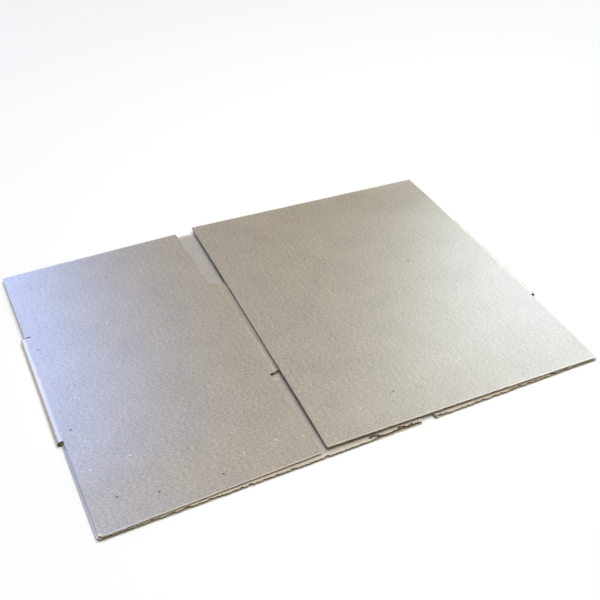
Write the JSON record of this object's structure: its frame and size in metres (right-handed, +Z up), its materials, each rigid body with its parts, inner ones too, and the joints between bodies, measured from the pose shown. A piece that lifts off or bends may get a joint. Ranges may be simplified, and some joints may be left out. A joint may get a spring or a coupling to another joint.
{
  "type": "flattened cardboard box",
  "caption": "Slotted carton of corrugated board folded flat, its panels glued into a loop at one joint and its end flaps lying in line with them.",
  "frame": {"origin": "middle of the flat sheet's box, on the surface that the sheet lies on", "axes": "+X along the long side, +Y along the flutes from the front flaps to the back flaps, +Z up through the plies"},
  "size_m": [0.5094, 0.364, 0.0086],
  "materials": {
    "kraft_board": "matt uncoated recycled kraft board"
  },
  "bodies": {
    "root": {"flattened_box": "kraft_board"}
  },
  "joints": []
}
